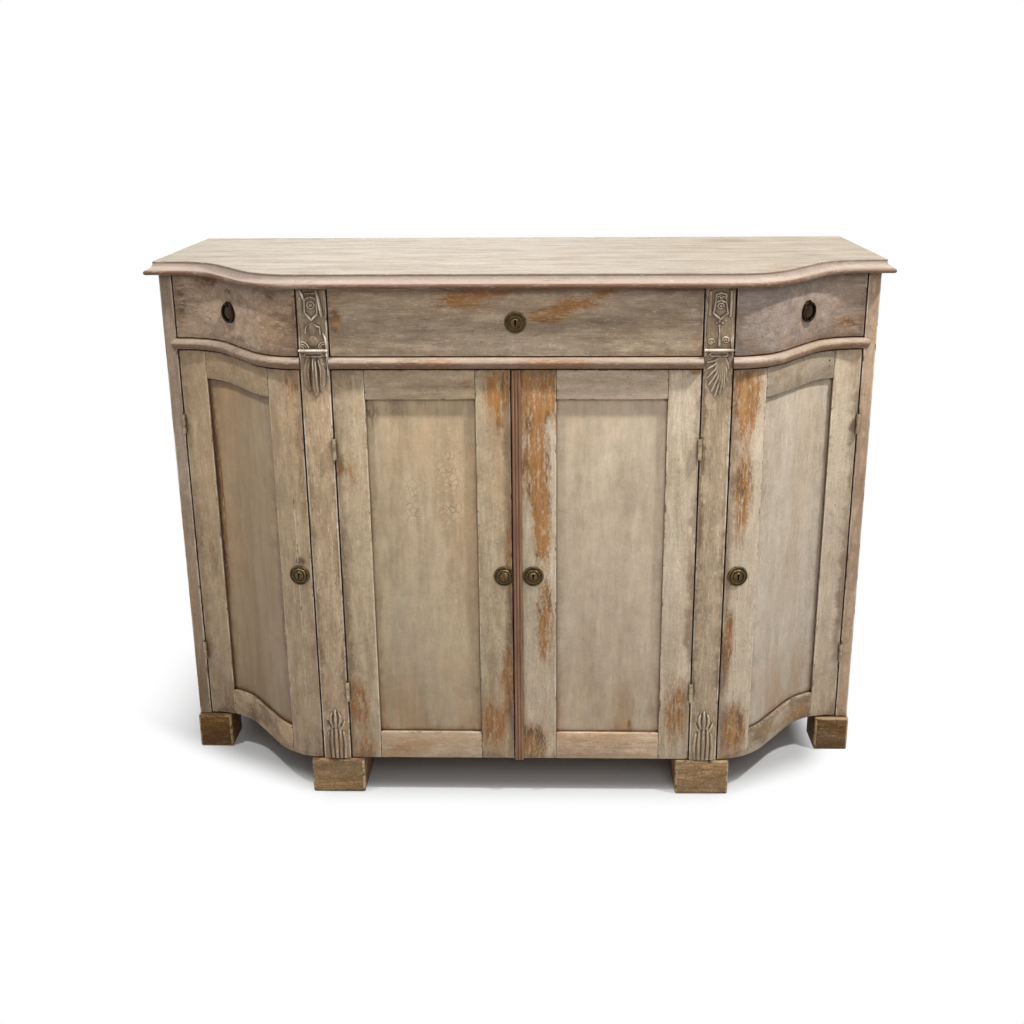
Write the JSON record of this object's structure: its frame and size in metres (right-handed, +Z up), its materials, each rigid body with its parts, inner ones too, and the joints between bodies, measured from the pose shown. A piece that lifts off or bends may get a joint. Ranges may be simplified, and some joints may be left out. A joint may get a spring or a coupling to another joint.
{
  "type": "serpentine buffet",
  "caption": "Painted wooden buffet with a serpentine front: curved end doors and drawers beside a flat middle with paired panelled doors, carved pilasters, keyhole plates and ring pulls.",
  "frame": {"origin": "on the floor, at the middle of the top board's plan", "axes": "+X along the buffet to the right of someone facing it, +Y towards its back, +Z up"},
  "size_m": [1.356, 0.5, 1],
  "materials": {
    "grey_paint": "distressed satin paint",
    "cream_paint": "worn satin paint",
    "bare_wood": "matte",
    "dark_wood": "worn matte",
    "strip_wood": "satin",
    "aged_brass": "aged",
    "dark_bronze": "dark patina",
    "lock_iron": "dull"
  },
  "bodies": {
    "carcass": {"top_board": "cream_paint", "left_side": "grey_paint", "right_side": "grey_paint", "left_pilaster": "grey_paint", "right_pilaster": "grey_paint", "partitions": "bare_wood", "bottom_board": "bare_wood", "back_boards": "bare_wood", "drawer_decks": "bare_wood", "waist_beads": "grey_paint", "drawer_guides": "bare_wood", "shelves": "bare_wood", "shelf_cleats": "bare_wood", "front_feet": "dark_wood", "end_feet": "dark_wood", "rear_feet": "dark_wood", "left_carving": "grey_paint", "right_carving": "grey_paint", "frame_hinge_leaves": "aged_brass", "hinge_pins": "lock_iron"},
    "left_end_door": {"left_end_door_stiles": "grey_paint", "left_end_door_rails": "grey_paint", "left_end_door_panel": "grey_paint", "left_end_door_key_plate": "aged_brass", "left_end_door_hinge_leaves": "aged_brass", "left_end_door_lock": "lock_iron"},
    "left_door": {"left_door_stiles": "grey_paint", "left_door_rails": "grey_paint", "left_door_panel": "grey_paint", "left_door_key_plate": "aged_brass", "left_door_hinge_leaves": "aged_brass"},
    "right_door": {"right_door_stiles": "grey_paint", "right_door_rails": "grey_paint", "right_door_panel": "grey_paint", "right_door_key_plate": "aged_brass", "right_door_hinge_leaves": "aged_brass", "meeting_strip": "strip_wood", "right_door_lock": "lock_iron"},
    "right_end_door": {"right_end_door_stiles": "grey_paint", "right_end_door_rails": "grey_paint", "right_end_door_panel": "grey_paint", "right_end_door_key_plate": "aged_brass", "right_end_door_hinge_leaves": "aged_brass", "right_end_door_lock": "lock_iron"},
    "right_door_bolt": {"right_door_lock_bolt": "lock_iron"},
    "left_end_door_bolt": {"left_end_door_lock_bolt": "lock_iron"},
    "right_end_door_bolt": {"right_end_door_lock_bolt": "lock_iron"},
    "centre_drawer": {"centre_drawer_front": "grey_paint", "centre_drawer_box": "bare_wood", "centre_drawer_key_plate": "aged_brass", "drawer_lock": "lock_iron"},
    "drawer_bolt": {"drawer_lock_bolt": "lock_iron"},
    "left_drawer": {"left_drawer_front": "grey_paint", "left_drawer_box": "bare_wood", "left_drawer_pull_plate": "dark_bronze"},
    "left_ring": {"left_drawer_pull_ring": "dark_bronze"},
    "right_drawer": {"right_drawer_front": "grey_paint", "right_drawer_box": "bare_wood", "right_drawer_pull_plate": "dark_bronze"},
    "right_ring": {"right_drawer_pull_ring": "dark_bronze"}
  },
  "joints": [
    {"name": "left_end_door_hinge", "type": "hinge", "parent": "carcass", "child": "left_end_door", "pos_m": [-0.634, -0.079, 0.4535], "axis": [0, 0, -1], "range_deg": [0, 110]},
    {"name": "left_door_hinge", "type": "hinge", "parent": "carcass", "child": "left_door", "pos_m": [-0.319, -0.234, 0.4535], "axis": [0, 0, -1], "range_deg": [0, 110]},
    {"name": "right_door_hinge", "type": "hinge", "parent": "carcass", "child": "right_door", "pos_m": [0.319, -0.234, 0.4535], "axis": [0, 0, 1], "range_deg": [0, 110]},
    {"name": "right_end_door_hinge", "type": "hinge", "parent": "carcass", "child": "right_end_door", "pos_m": [0.634, -0.079, 0.4535], "axis": [0, 0, 1], "range_deg": [0, 110]},
    {"name": "centre_drawer_slide", "type": "slide", "parent": "carcass", "child": "centre_drawer", "axis": [0, -1, 0], "range_m": [0, 0.36]},
    {"name": "left_drawer_slide", "type": "slide", "parent": "carcass", "child": "left_drawer", "axis": [0, -1, 0], "range_m": [0, 0.24]},
    {"name": "right_drawer_slide", "type": "slide", "parent": "carcass", "child": "right_drawer", "axis": [0, -1, 0], "range_m": [0, 0.24]},
    {"name": "left_ring_hinge", "type": "hinge", "parent": "left_drawer", "child": "left_ring", "pos_m": [-0.51666, -0.13781, 0.932], "axis": [-0.6592, 0.752, 0], "range_deg": [0, 100]},
    {"name": "right_ring_hinge", "type": "hinge", "parent": "right_drawer", "child": "right_ring", "pos_m": [0.51666, -0.13781, 0.932], "axis": [-0.6592, -0.752, 0], "range_deg": [0, 100]},
    {"name": "right_door_bolt_slide", "type": "slide", "parent": "right_door", "child": "right_door_bolt", "axis": [-1, 0, 0], "range_m": [0, 0.01]},
    {"name": "left_end_door_bolt_slide", "type": "slide", "parent": "left_end_door", "child": "left_end_door_bolt", "axis": [1, 0, 0], "range_m": [0, 0.01]},
    {"name": "right_end_door_bolt_slide", "type": "slide", "parent": "right_end_door", "child": "right_end_door_bolt", "axis": [-1, 0, 0], "range_m": [0, 0.01]},
    {"name": "drawer_bolt_slide", "type": "slide", "parent": "centre_drawer", "child": "drawer_bolt", "axis": [0, 0, 1], "range_m": [0, 0.01]}
  ]
}
